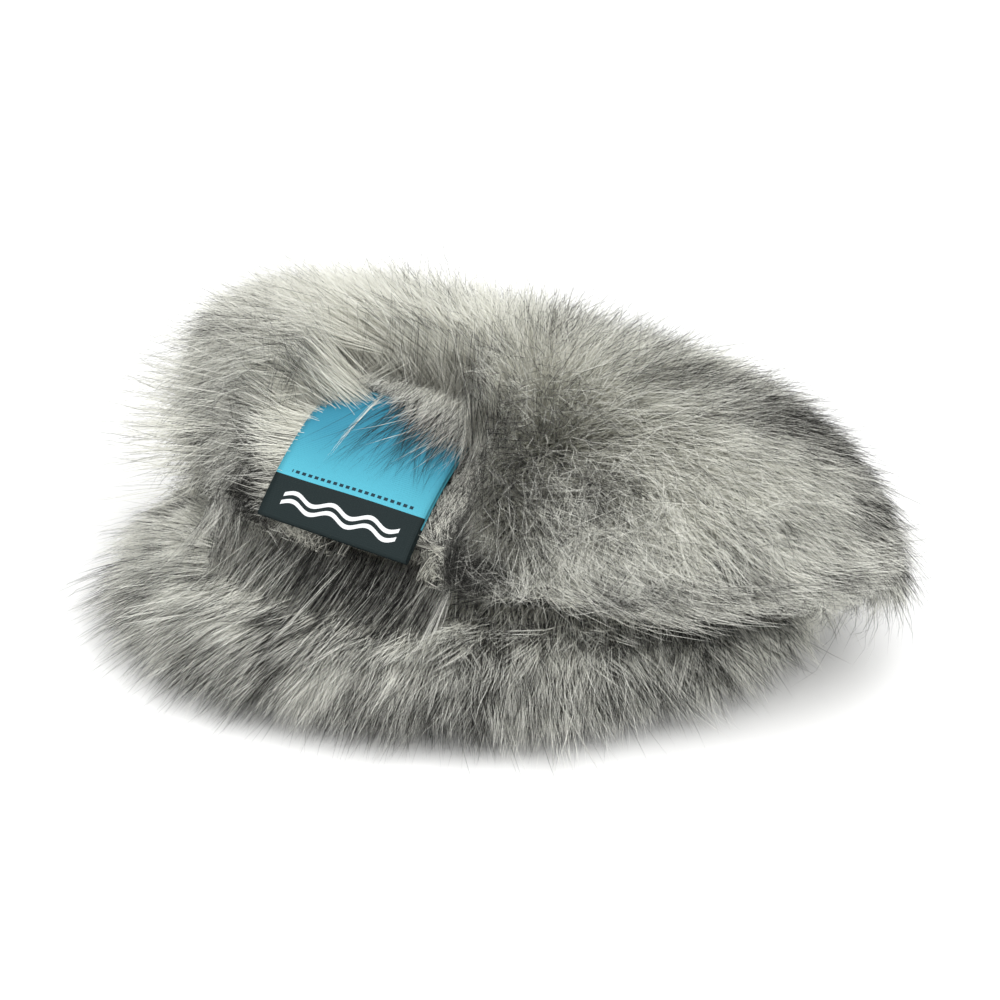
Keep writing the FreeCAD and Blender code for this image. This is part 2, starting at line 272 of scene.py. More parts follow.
def label_frame(point):
    """Place on the label: across it, angle down its curve from the root, height over its face."""
    c, s = math.cos(LABEL_TURN), math.sin(LABEL_TURN)
    q = point - LABEL_ROOT
    x = q[..., 0] * c + q[..., 1] * s
    y = -q[..., 0] * s + q[..., 1] * c
    z = q[..., 2]
    y0, z0 = LABEL_RADIUS * math.sin(LABEL_SLOPE), -LABEL_RADIUS * math.cos(LABEL_SLOPE)
    forward, up = y0 - y, z - z0
    reach = np.hypot(forward, up)
    angle = np.arctan2(forward, up) - LABEL_SLOPE
    return x, angle, reach - LABEL_RADIUS


def from_label(x, angle, height):
    """The inverse of label_frame."""
    a = angle + LABEL_SLOPE
    reach = LABEL_RADIUS + height
    y = LABEL_RADIUS * math.sin(LABEL_SLOPE) - reach * np.sin(a)
    z = reach * np.cos(a) - LABEL_RADIUS * math.cos(LABEL_SLOPE)
    c, s = math.cos(LABEL_TURN), math.sin(LABEL_TURN)
    return LABEL_ROOT + np.stack([x * c - y * s, x * s + y * c, z], -1)


def under_label(point):
    """Hair that would come through the label, or up in front of it, hangs under it instead."""
    x, angle, height = label_frame(point)
    last = LABEL_ARC - 0.06
    ahead = np.maximum(angle - last, 0)
    beside = np.maximum(np.abs(x) - LABEL_WIDTH / 2 - 1.0 * MM, 0)
    depth = beside * RISE_BESIDE - PRESSED_DEPTH - ahead * DROP_AHEAD
    first = np.where(beside > 0, 0.18, -0.02)
    inside = (beside < PRESSED_BESIDE) & (angle > first) & (angle < LABEL_ARC + PRESSED_AHEAD)
    inside &= (height > depth) & (point[..., 2] > SEAM_LOW)
    pushed = from_label(x, np.minimum(angle, last) + ahead * 0.12, depth)
    return np.where(inside[..., None], pushed, point)


def stop_at_label(hair):
    """Strands from outside the label end where they would lie over it, beyond its cover hair."""
    steps = np.linspace(0, 1, 17)
    point, _ = hair.sample(steps)
    x, angle, height = label_frame(point)
    over = (np.abs(x) < LABEL_WIDTH / 2) & (angle < LABEL_ARC + 0.12) & (height > -1.5 * MM)
    allowed = np.interp(x / LABEL_WIDTH, COVER_PLACE, COVER_REACH) * MM / LABEL_RADIUS
    over &= angle > allowed
    below = (np.abs(x[:, 0]) < LABEL_WIDTH / 2) & (angle[:, 0] > 0)
    crosses = over.any(axis=1) & ~below
    clear = steps[np.maximum(np.argmax(over, axis=1) - 1, 0)] * rng.uniform(0.7, 1.0, len(x))
    end = np.where(crosses, clear, 1.0)
    p0, p1, p2, p3 = (hair.curve[:, i] for i in range(4))
    t = end[:, None]
    a, b, c = p0 + t * (p1 - p0), p1 + t * (p2 - p1), p2 + t * (p3 - p2)
    d, e = a + t * (b - a), b + t * (c - b)
    # the shorter strands are fine and have dark tips, so they fade out beside the label
    tone = np.where(crosses, np.maximum(hair.tone, 0.55), hair.tone)
    width = np.where(crosses, 0.75 * hair.width, hair.width)
    cut = Hair(np.stack([p0, a, d, d + t * (e - d)], 1), width, tone, hair.wave)
    return cut.take(end > 0.35)


def hair_mesh(name, hair, material, covers_label=False):
    """One mesh of closed three-sided tapering tubes, one for each strand."""
    count = len(hair.curve)
    steps = np.append(RINGS, 1.0)
    point, along = hair.sample(steps)
    side = unit(np.cross(along, rng.normal(size=(count, 1, 3))))
    if np.any(hair.wave):
        phase = rng.uniform(0, 2 * math.pi, (count, 1))
        swing = np.sin(phase + steps[None, :] * rng.uniform(5, 11, (count, 1))) * steps[None, :]
        point = point + side * (swing * np.reshape(hair.wave, (-1, 1)))[..., None]
    point = inside_box(point)
    tone = hair.tone
    if not covers_label:
        free = point
        point = under_label(point)
        moved = np.linalg.norm(point - free, axis=-1) * (point[:, :1, 2] > BAG_CENTRE[2])
        # painted shadow of the label: the hair it presses down is darkened, and hair that only starts
        # there is darkened too
        tone = np.where(moved.max(axis=1) > MOVED, np.maximum(tone, NEAR_LABEL_SHADOW_TONE), tone)
        tone = np.where(moved[:, -1] > MOVED, np.maximum(tone, LABEL_SHADOW_TONE), tone)
    other = np.cross(along, side)
    rings = len(RINGS)
    turns = np.arange(3) * 2 * math.pi / 3
    radius = 0.5 * hair.width[:, None] * GIRTH[None, :]
    offset = (side[:, :rings, None] * np.cos(turns)[None, None, :, None]
              + other[:, :rings, None] * np.sin(turns)[None, None, :, None])
    ring = point[:, :rings, None] + offset * radius[..., None, None]
    corners = np.concatenate([ring.reshape(count, -1, 3), point[:, rings:rings + 1]], axis=1)
    per = corners.shape[1]

    quads = []
    for r in range(rings - 1):
        for k in range(3):
            n = (k + 1) % 3
            quads.append([3 * r + k, 3 * r + n, 3 * r + 3 + n, 3 * r + 3 + k])
    last = 3 * (rings - 1)
    point_index = per - 1
    tris = [[last, last + 1, point_index], [last + 1, last + 2, point_index],
            [last + 2, last, point_index], [2, 1, 0]]
    one = np.concatenate([np.array(quads).ravel(), np.array(tris).ravel()])
    loops = (one[None, :] + per * np.arange(count)[:, None]).ravel()
    sizes = np.array([4] * len(quads) + [3] * len(tris))
    starts_one = np.concatenate([[0], np.cumsum(sizes)[:-1]])
    starts = (starts_one[None, :] + len(one) * np.arange(count)[:, None]).ravel()

    mesh = bpy.data.meshes.new(name)
    mesh.vertices.add(count * per)
    mesh.vertices.foreach_set("co", corners.astype(np.float32).ravel())
    mesh.loops.add(len(loops))
    mesh.loops.foreach_set("vertex_index", loops.astype(np.int32))
    mesh.polygons.add(len(starts))
    mesh.polygons.foreach_set("loop_start", starts.astype(np.int32))
    mesh.polygons.foreach_set("use_smooth", np.ones(len(starts), bool))
    # each strand's place on the tone scale, and how far along it each corner is
    spread = np.array([-1.0, 0.0, 1.0] * rings + [0.0]) * TONE_SPREAD
    tone = np.clip(tone[:, None], 0.01, 0.99) + spread[None, :]
    step = np.repeat(steps, [3] * rings + [1]) * 0.98 + 0.01
    uv = np.stack([tone, np.broadcast_to(step, tone.shape)], -1).reshape(-1, 2)
    layer = mesh.uv_layers.new(name=STRAND_UV)
    layer.data.foreach_set("uv", uv[loops].astype(np.float32).ravel())
    mesh.update(calc_edges=True)
    mesh.validate()
    mesh.materials.append(material)
    piece = bpy.data.objects.new(name, mesh)
    bpy.context.scene.collection.objects.link(piece)
    return piece


def smooth_noise(p, scale, seed):
    """A smooth field of about -1 to 1, from a few sine waves."""
    local = np.random.default_rng(seed)
    total = np.zeros(p.shape[:-1])
    for _ in range(6):
        wave = local.normal(size=3)
        wave = wave / np.linalg.norm(wave) * local.uniform(0.6, 1.5) / scale
        total += np.sin(p @ wave * 2 * math.pi + local.uniform(0, 6.28))
    return total / 3


def spot(p, x, y, radius):
    """One soft round patch, 1 at its middle, by its place seen from above."""
    d = np.hypot(p[..., 0] - x * MM, p[..., 1] - y * MM) / (radius * MM)
    return np.exp(-d ** 2)


def upper_roots(count, rim_share=0.35):
    """Roots spread over the upper dome of the bag, with more of them near its rim."""
    angle = rng.uniform(0, 2 * math.pi, count)
    rho = np.sqrt(rng.uniform(0, 1, count))
    near = rng.uniform(size=count) < rim_share
    rho = np.where(near, 1 - 0.22 * rng.uniform(size=count) ** 2, rho)
    rho = np.minimum(rho, 0.999)
    plan = np.stack([rho * np.cos(angle), rho * np.sin(angle), np.sqrt(1 - rho ** 2)], -1)
    return UPPER_BAG.centre + UPPER_BAG.half * plan


# the upper hair is brushed away from here, a little forward, and at the right end to the right
PARTING = np.array([-22.0, 28.0]) * MM
FORWARD = np.array([0.0, -0.22])
RIGHTWARD = np.array([0.75, -0.20])


def fluffy(root):
    """Where the upper hair is short and tousled, from 0 to 1: its middle, towards the lip."""
    x, y = root[..., 0] / MM, root[..., 1] / MM
    return np.exp(-np.abs((x - 8) / 56) ** 3 - np.abs((y - 2) / 42) ** 3)


def comb_upper(root):
    """How the upper hair is brushed at each root."""
    x = root[..., 0] / MM
    away = root[..., :2] - PARTING
    away = away / (np.linalg.norm(away, axis=-1, keepdims=True) + 14 * MM)
    flat = 0.75 * away + FORWARD
    flat = flat + np.clip((x - 12) / 60, 0, 1)[..., None] * RIGHTWARD
    # at the left end the back sweeps outwards and the front sweeps forwards too
    aside = np.stack([np.full_like(x, -0.85), np.clip((root[..., 1] / MM - 22) / 40, -0.45, 0.25)], -1)
    flat = flat + np.clip((-26 - x) / 30, 0, 1)[..., None] * aside
    fluff = fluffy(root)
    swirl = smooth_noise(root, 26 * MM, 11) * (0.32 + 0.65 * fluff)
    swirl += smooth_noise(root, 11 * MM, 12) * (0.22 + 0.45 * fluff)
    swirl += rng.normal(size=len(root)) * (0.26 + 0.55 * fluff)
    c, s = np.cos(swirl), np.sin(swirl)
    flat = np.stack([flat[..., 0] * c - flat[..., 1] * s, flat[..., 0] * s + flat[..., 1] * c], -1)
    length = np.linalg.norm(flat, axis=-1, keepdims=True)
    flat = flat / np.maximum(length, 0.8)
    edge = np.linalg.norm((root[..., :2] - BAG_CENTRE[:2]) / BAG_HALF, axis=-1)
    drop = (-0.10 - 0.6 * edge ** 3) * np.minimum(length[..., 0], 1)
    return np.concatenate([flat, drop[..., None]], -1)


def clumped(roots, bag, per, spread):
    """Roots gathered round clump centres: each strand's root, and its clump's index."""
    centre = np.repeat(np.arange(len(roots)), per)
    jitter = rng.normal(size=(len(centre), 3)) * spread
    return bag.project(roots[centre] + jitter), centre


def brush(root, clump_root, comb, reach, gather, lift, depth, lowest):
    """Control points of strands that rise from the upper bag and lie over along the fur's surface."""
    def target(r, k):
        start = UPPER_FUR.project(r)
        end = UPPER_FUR.project(start + comb * k)
        under = np.minimum(end[:, 2] - lowest, 0)
        end[:, 2] -= 0.88 * under
        return start, end

    start, tip = target(root, reach)
    _, clump_tip = target(clump_root, reach)
    tip = tip * (1 - gather) + clump_tip * gather
    _, mid = target(root, reach * 0.42)
    rise = np.linalg.norm(start - root, axis=-1, keepdims=True)
    p1 = root + UPPER_BAG.normal(root) * rise * 0.45
    p2 = mid - UPPER_FUR.normal(mid) * depth
    p3 = tip + UPPER_FUR.normal(tip) * lift
    return np.stack([root, p1, p2, p3], 1)


def column(values):
    """One number a strand, as a column that scales its points."""
    return np.asarray(values)[:, None]


# the lobes' sectors round the bag: the whole front, the rest, and two parts of the front
FRONT = (math.radians(199.5), math.radians(340.5))
REST = (math.radians(-19.5), math.radians(199.5))
FRONT_LEFT = (math.radians(196.0), math.radians(243.0))
FRONT_UNDER_LABEL = (math.radians(228.0), math.radians(276.0))

# how low the upper hair hangs: at the back, and along the lip from left to right, in mm
BACK_HEIGHT = 21.0
LIP_PLACE = [-76, -48, -12, 22, 44, 56, 66, 74]
LIP_HEIGHT = [37, 42, 44, 43, 42.5, 42.5, 40.5, 40]


def upper_hair(clumps, per, reach_range, width, depth, spread, tone_base=0.0, wisps=0.04,
               wisp_lift=(1.5, 6.0), tousle=0.0, rim_share=0.35):
    """One layer of the upper panel's hair: reach, lift and spread in mm, width and depth in metres."""
    centres = upper_roots(clumps, rim_share)
    root, which = clumped(centres, UPPER_BAG, per, 1.7 * MM)
    root[:, 2] = np.maximum(root[:, 2], BAG_CENTRE[2] + 0.3 * MM)
    count = len(root)
    fluff = fluffy(centres)
    comb = comb_upper(centres) * (1 - tousle) + rng.normal(size=(clumps, 3)) * tousle
    comb = comb[which] + rng.normal(size=(count, 3)) * (0.10 + 0.22 * column(fluff[which]) + tousle)
    clump_reach = rng.uniform(*reach_range, clumps) * MM
    out = centres[:, 0] / (70 * MM)
    clump_reach *= 1 + 0.25 * np.clip(out, 0, 1) + 0.05 * np.clip(-out, 0, 1)
    clump_reach *= 1 - 0.48 * fluff
    reach = column(clump_reach[which] * rng.uniform(0.75, 1.12, count))
    gather = column(rng.uniform(0.3, 0.75, clumps)[which])
    clump_lift = rng.normal(size=clumps) * spread * (1 + 0.8 * fluff)
    lift = (clump_lift[which] + rng.normal(size=count) * spread * 0.6) * MM
    wisp = rng.uniform(size=count) < wisps
    lift = np.where(wisp, lift + rng.uniform(*wisp_lift, count) * MM, lift)
    x, y = centres[which, 0] / MM, centres[which, 1] / MM
    lift -= 4.5 * MM * np.clip((x - 45) / 25, 0, 1) + 4 * MM * np.clip((-55 - x) / 15, 0, 1) * ~wisp
    behind = np.clip((y + 2) / 12, 0, 1)
    lip = np.interp(x, LIP_PLACE, LIP_HEIGHT) * (1 - behind) + BACK_HEIGHT * behind
    lip = lip + 2.2 * smooth_noise(centres, 14 * MM, 13)[which]
    lowest = (lip + (rng.normal(size=clumps) * 2.4)[which] + rng.normal(size=count)) * MM
    curve = brush(root, centres[which], comb, reach, gather, column(lift), depth, lowest)
    # the left end stands higher than the middle
    raised = 14 * np.exp(-((x + 52) / 24) ** 2) * np.clip((y + 6) / 20, 0, 1)
    raised -= 6 * np.exp(-((x - 8) / 30) ** 2) * np.clip((y - 2) / 12, 0, 1)
    curve[:, 2:, 2] += column(raised) * MM
    tone = two_tone(upper_tone(curve[:, 3]) + tone_base, which, clumps) * (1 - 0.06 * fluff[which])
    wave = (0.5 + 0.8 * fluff[which]) * MM
    girth = rng.uniform(0.75, 1.2, count) * width * (1 - 0.15 * fluff[which])
    return Hair(curve, girth, tone, wave)


def on_bag(angle, rho, height):
    """Points of the bag by angle, share of the rim ellipse, and height over its rim."""
    return BAG_CENTRE + np.stack([BAG_HALF[0] * rho * np.cos(angle),
                                  BAG_HALF[1] * rho * np.sin(angle), height], -1)


def lower_fringe():
    """Short hair, painted dark for the shade of the mouth, that rises over the lower hem and lies down on
    the lower lobe.
    """
    count = 5000
    angle = rng.uniform(*FRONT, count)
    depth = rng.uniform(4.6, 8.0, count) * MM
    rho = np.sqrt(1 - (depth / LOWER_BAG.half[2]) ** 2)
    root = on_bag(angle, rho, -depth)
    out = np.stack([np.cos(angle) * 0.8, np.sin(angle), np.zeros(count)], -1)
    out = unit(out + rng.normal(size=(count, 3)) * np.array([0.3, 0.3, 0.0]))
    length = column(rng.uniform(8, 26, count) * MM)
    up = np.array([0, 0, 1.0]) * column(rng.uniform(2.0, 5.0, count) * MM)
    curve = np.stack([root, root + out * 2 * MM + up, root + out * length * 0.6 + up * 1.2,
                      root + out * length - up * length / (30 * MM)], 1)
    # the high tone darkens these strands: painted shade of the mouth
    tone = np.clip(rng.normal(size=count) * 0.13 + 0.82, 0, 1)
    return Hair(curve, rng.uniform(0.14, 0.22, count) * MM, tone, 0.8 * MM)


def lip_fringe():
    """Short hair, painted dark for the shade of the mouth, that hangs from the upper hem, down in front
    of the mouth.
    """
    count = 4200
    angle = rng.uniform(*FRONT, count)
    height = rng.uniform(5.0, 12.0, count) * MM
    rho = np.sqrt(1 - (height / UPPER_BAG.half[2]) ** 2)
    root = on_bag(angle, rho, height)
    out = np.stack([np.cos(angle) * 0.8, np.sin(angle), np.zeros(count)], -1)
    out = unit(out + rng.normal(size=(count, 3)) * 0.22)
    out[:, 2] = 0
    length = column(rng.uniform(7, 19, count) * MM)
    drop = column(rng.uniform(-1, 7, count) * MM) * np.array([0, 0, -1.0])
    lip = np.interp(root[:, 0] / MM, LIP_PLACE, LIP_HEIGHT) * MM
    level = np.array([0, 0, 1.0]) * column(lip - root[:, 2])
    tip = root + out * length + drop * 0.6 + level * 0.6
    curve = np.stack([root, root + out * length * 0.35, root + out * length * 0.75 + level * 0.3, tip], 1)
    # the high tone darkens these strands: painted shade of the mouth
    tone = np.clip(rng.normal(size=count) * 0.13 + 0.82, 0, 1)
    return Hair(curve, rng.uniform(0.14, 0.22, count) * MM, tone, 0.8 * MM)


def left_wisps():
    """Long dark-tipped locks, a few hairs each, that stand out from the left end."""
    locks, per = 210, 5
    centres = upper_roots(20 * locks)
    centres = centres[(centres[:, 0] < -36 * MM) & (centres[:, 1] > -6 * MM)][:locks]
    which = np.repeat(np.arange(len(centres)), per)
    count = len(which)
    root = UPPER_BAG.project(centres[which] + rng.normal(size=(count, 3)) * 1.5 * MM)
    sweep = np.stack([np.full(locks, -0.95), (centres[:, 1] / MM - 20) / 60, np.full(locks, 0.05)], -1)
    comb = (sweep + rng.normal(size=(locks, 3)) * np.array([0.12, 0.22, 0.22]))[which]
    comb += rng.normal(size=(count, 3)) * 0.06
    length = column((rng.uniform(26, 50, locks)[which] + rng.normal(size=count) * 3) * MM)
    start = UPPER_FUR.project(root)
    tip = start + comb * length
    # they follow the fur for half their length, then leave it
    tip = tip * 0.5 + UPPER_FUR.project(tip) * 0.5
    bend = UPPER_FUR.project(start + comb * length * 0.5)
    curve = np.stack([root, start * 0.6 + root * 0.4, bend, tip], 1)
    tone = np.clip(rng.normal(size=count) * 0.18 + 0.36, 0, 1)
    return Hair(curve, rng.uniform(0.12, 0.19, count) * MM, tone, 0.7 * MM)


def two_tone(share, which, clumps):
    """Tones for pale, dark-tipped and mostly dark strands, the darker ones mostly clump by clump."""
    draw = 0.6 * rng.uniform(size=clumps)[which] + 0.4 * rng.uniform(size=len(which))
    tone = np.where(draw < share, 0.90, np.where(draw < 1.75 * share, 0.42, 0.06))
    return np.clip(tone + rng.normal(size=len(which)) * 0.07, 0, 1)


# where the upper fur reads darker (+) or paler (-), seen from above: x, y, radius in mm, amount
UPPER_SPOTS = [(44, 6, 15, 0.46), (22, 40, 16, 0.35), (4, 2, 13, 0.24), (-8, -34, 16, 0.25),
               (84, 10, 20, 0.40), (20, -32, 17, 0.45), (-4, -46, 16, 0.45), (-52, 22, 34, -0.30),
               (48, -38, 14, -0.15), (66, -20, 18, -0.07), (2, 34, 16, -0.20), (24, -6, 12, -0.15),
               (-33, 27, 9, 0.30), (-70, -32, 12, 0.28), (-20, 10, 18, -0.16), (45, 36, 26, -0.16)]


def upper_tone(p):
    """Where the upper fur reads darker or paler."""
    tone = 0.31 + 0.10 * smooth_noise(p, 30 * MM, 31) + 0.17 * smooth_noise(p, 11 * MM, 32)
    tone = tone + 0.12 * smooth_noise(p, 5.5 * MM, 33)
    for x, y, radius, darker in UPPER_SPOTS:
        tone = tone + darker * spot(p, x, y, radius)
    return tone


def lower_hair(clumps, per, sector, width, roots, heights, outward, tone_base=0.0, wisps=0.06):
    """One layer of the lower panel's hair, fanned out: its tips' heights and outward shift in mm."""
    angle = rng.uniform(*sector, clumps)
    rho = rng.uniform(*roots, clumps)
    rise = -np.sqrt(np.clip(1 - rho ** 2, 0, 1))
    plan = np.stack([rho * np.cos(angle), rho * np.sin(angle), rise], -1)
    centres = LOWER_BAG.centre + LOWER_BAG.half * plan
    root, which = clumped(centres, LOWER_BAG, per, 1.6 * MM)
    root[:, 2] = np.minimum(root[:, 2], BAG_CENTRE[2] - 0.3 * MM)
    front = root[:, 1] < MOUTH_Y
    root[:, 2] = np.where(front, np.minimum(root[:, 2], BAG_CENTRE[2] - LIP), root[:, 2])
    count = len(root)
    away = root[:, :2] - np.array([-6.0, 22.0]) * MM
    comb = unit(away) + rng.normal(size=(clumps, 2))[which] * 0.19 + rng.normal(size=(count, 2)) * 0.10
    comb = unit(comb)
    # the tip: straight out from the root to the fur's outer surface at its own height
    rightward = np.clip((root[:, 0] / MM - 8) / 55, 0, 1)
    tip_height = rng.uniform(*heights, clumps)[which] + rng.normal(size=count) * 1.2 + 7.5 * rightward
    tip_height = np.clip(tip_height, 0.6, 40) * MM
    far = np.concatenate([root[:, :2] + comb * 60 * MM, column(tip_height)], -1)
    tip = level_project(LOWER_FUR, far)
    halfway = column((tip_height + root[:, 2]) / 2)
    middle = np.concatenate([root[:, :2] + comb * 30 * MM, halfway], -1)
    mid = level_project(LOWER_FUR, middle)
    clump_tip = np.zeros((clumps, 3))
    np.add.at(clump_tip, which, tip / per)
    gather = column(rng.uniform(0.4, 0.9, clumps)[which])
    tip = tip * (1 - gather) + clump_tip[which] * gather
    flat = np.concatenate([comb, np.zeros((count, 1))], -1)
    uneven = 3.0 * smooth_noise(centres, 13 * MM, 43) + rng.normal(size=clumps) * 3.8
    push = uneven[which] + rng.normal(size=count) * 1.2 + outward - 7.5 * rightward - 1.5
    push = np.where(rng.uniform(size=count) < wisps, push + rng.uniform(1, 8, count), push)
    tip = tip + flat * column(push) * MM
    reach = np.linalg.norm(tip - root, axis=-1, keepdims=True)
    p1 = root + (flat * 0.9 + LOWER_BAG.normal(root) * 0.1) * reach * 0.30
    p2 = mid * 0.5 + (root + tip) * 0.25 - flat * 1.0 * MM
    curve = np.stack([root, p1, p2, tip], 1)
    tone = two_tone(lower_tone(tip) + tone_base, which, clumps)
    return Hair(curve, rng.uniform(0.75, 1.2, count) * width, tone, 0.5 * MM)


def level_project(fur, p):
    """The point of the fur's surface straight out from its axis through p, at p's own height."""
    q = fur.local(p)
    ring = np.sqrt(np.clip(1 - (q[:, 2] / fur.half[2]) ** 2, 0.01, 1))
    scale = ring / np.linalg.norm(q[:, :2] / fur.half[:2], axis=-1)
    q = np.concatenate([q[:, :2] * scale[:, None], q[:, 2:]], -1)
    return fur.centre + q @ fur.axes.T


def lower_tone(p):
    """Where the lower fur reads darker or paler."""
    tone = 0.32 + 0.08 * smooth_noise(p, 34 * MM, 41) + 0.10 * smooth_noise(p, 10 * MM, 42)
    tone -= 0.12 * spot(p, -84, -30, 36)
    return tone


def cover_hair():
    """Hair that falls over the top of the label from the roots behind it."""
    count, stray = 3000, 280
    x = np.concatenate([rng.uniform(-0.60, 0.62, count), rng.uniform(0.0, 0.5, stray)])
    total = len(x)
    reach = np.interp(x, COVER_PLACE, COVER_REACH) * rng.uniform(0.35, 1.05, total)
    reach[count:] = rng.uniform(16, 33, stray)
    # one pale wisp straight down from the parting
    wisp = np.arange(8)
    x[wisp] = -0.17 + rng.normal(size=len(wisp)) * 0.008
    reach[wisp] = rng.uniform(22, 30, len(wisp))
    reach, x = reach * MM, x * LABEL_WIDTH
    back = rng.uniform(1, 30, total) * MM
    root = UPPER_BAG.project(from_label(x * 0.8, -back / LABEL_RADIUS, np.zeros(total)))
    over = rng.uniform(0.4, 3.2, total) * MM
    over[wisp] = 0.7 * MM
    drift = (np.where(x > -0.2 * LABEL_WIDTH, -0.05, -0.35) + rng.normal(size=total) * 0.38) * reach
    drift[wisp] = -0.10 * reach[wisp]
    tip = from_label(x + drift, reach / LABEL_RADIUS, over)
    aside = rng.normal(size=(2, total)) * 2.5 * MM
    aside[:, wisp] = 0
    first = rng.uniform(-0.10, 0.06, total)
    bend = from_label(x * 0.95 + aside[0], first, over + rng.uniform(0.5, 4.0, total) * MM)
    rise = from_label(x * 0.88 + aside[1], -back * 0.8 / LABEL_RADIUS, rng.uniform(0.5, 5.0, total) * MM)
    curve = np.stack([root, rise, bend, tip], 1)
    tone = np.where(rng.uniform(size=total) < 0.36, 0.70, 0.15) + rng.normal(size=total) * 0.10
    tone[count:] = 0.92
    tone[wisp] = 0.05
    wave = np.full(total, 1.3 * MM)
    wave[wisp] = 0.3 * MM
    return Hair(curve, rng.uniform(0.12, 0.20, total) * MM, np.clip(tone, 0, 1), wave)


# ---------------------------------------------------------------- hair pieces

STRANDS_PER_PIECE = 9000


def in_pieces(name, hair, material, body):
    """The hair as numbered pieces, each small enough to keep every strand."""
    made = []
    order = np.argsort(hair.curve[:, 0, 0], kind="stable")
    parts = max(1, math.ceil(len(order) / STRANDS_PER_PIECE))
    for index, chunk in enumerate(np.array_split(order, parts)):
        label = name if parts == 1 else f"{name}_{index + 1}"
        piece = hair_mesh(label, hair.take(chunk), material, body == "over label")
        if body == "across":
            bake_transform(piece)
        elif body == "over label":
            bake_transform(piece)
        else:
            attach(piece, body)
        made.append(piece)
    return made


def join_hair(*layers):
    """Several layers as one."""
    wave = [np.broadcast_to(layer.wave, len(layer.curve)) for layer in layers]
    return Hair(np.concatenate([layer.curve for layer in layers]),
                np.concatenate([layer.width for layer in layers]),
                np.concatenate([layer.tone for layer in layers]), np.concatenate(wave))


def upper_fur(material):
    """The upper panel's hair: the lip rides stiffly with the upper half, the rest is not attached to
    either half.
    """
    bed = upper_hair(clumps=1300, per=8, reach_range=(20, 32), width=0.23 * MM, depth=5 * MM,
                     spread=0.8, tone_base=0.10)
    body = upper_hair(clumps=2700, per=9, reach_range=(18, 36), width=0.18 * MM, depth=2.6 * MM,
                      spread=1.2)
    top = upper_hair(clumps=2300, per=8, reach_range=(18, 42), width=0.15 * MM, depth=1.0 * MM,
                     spread=1.8, wisps=0.12)
    fuzz = upper_hair(clumps=2700, per=8, reach_range=(8, 20), width=0.13 * MM, depth=0.5 * MM,
                      spread=2.0, tousle=0.6, rim_share=0.1)
    guard = upper_hair(clumps=1500, per=3, reach_range=(30, 54), width=0.14 * MM, depth=0.0,
                       spread=1.5, tone_base=0.30, wisps=0.75, wisp_lift=(1, 11))
    hair = join_hair(bed, body, top, fuzz, guard, left_wisps(), lip_fringe())
    hair = stop_at_label(hair)
    lip = (hair.curve[:, 0, 1] < MOUTH_Y) | (hair.curve[:, 3, 1] < -30 * MM)
    return (in_pieces("upper_fur_lip", hair.take(lip), material, "upper_half")
            + in_pieces("upper_fur_crown", hair.take(~lip), material, "across"))


def lower_fur(material):
    """The lower panel's hair: the lip and fan ride stiffly with the lower half, the sides and back are
    not attached to either half.
    """
    fan = join_hair(
        lower_hair(700, 9, FRONT, 0.30 * MM, roots=(0.55, 0.93), heights=(0.6, 18), outward=-4.0,
                   tone_base=0.10),
        lower_hair(1500, 10, FRONT, 0.19 * MM, roots=(0.70, 0.95), heights=(0.6, 24), outward=-1.5),
        lower_hair(1500, 9, FRONT, 0.16 * MM, roots=(0.80, 0.95), heights=(1, 32), outward=-1.0,
                   wisps=0.15),
        lower_hair(800, 4, FRONT, 0.17 * MM, roots=(0.80, 0.95), heights=(0.8, 16), outward=2.5,
                   tone_base=0.35, wisps=0.4),
        # a higher bank of hair on the left, close under the label, that falls off to the right
        lower_hair(430, 9, FRONT_LEFT, 0.18 * MM, roots=(0.84, 0.95), heights=(26, 37), outward=-3.0,
                   tone_base=0.10, wisps=0.1),
        # right under the label the bank has a darker tone base: painted shade of the label
        lower_hair(300, 9, FRONT_UNDER_LABEL, 0.18 * MM, roots=(0.84, 0.95), heights=(18, 33),
                   outward=-3.0, tone_base=0.30, wisps=0.1),
        lower_fringe())
    sides = join_hair(
        lower_hair(600, 8, REST, 0.30 * MM, roots=(0.7, 0.99), heights=(0.6, 22), outward=-4.0,
                   tone_base=0.10),
        lower_hair(1200, 9, REST, 0.20 * MM, roots=(0.85, 0.998), heights=(0.6, 28), outward=-1.0))
    return (in_pieces("lower_fur_fan", fan, material, "lower_half")
            + in_pieces("lower_fur_sides", sides, material, "across"))


def label_cover(material):
    """The hair over the label's root."""
    return in_pieces("label_cover_hair", cover_hair(), material, "over label")


# ---------------------------------------------------------------- cloth

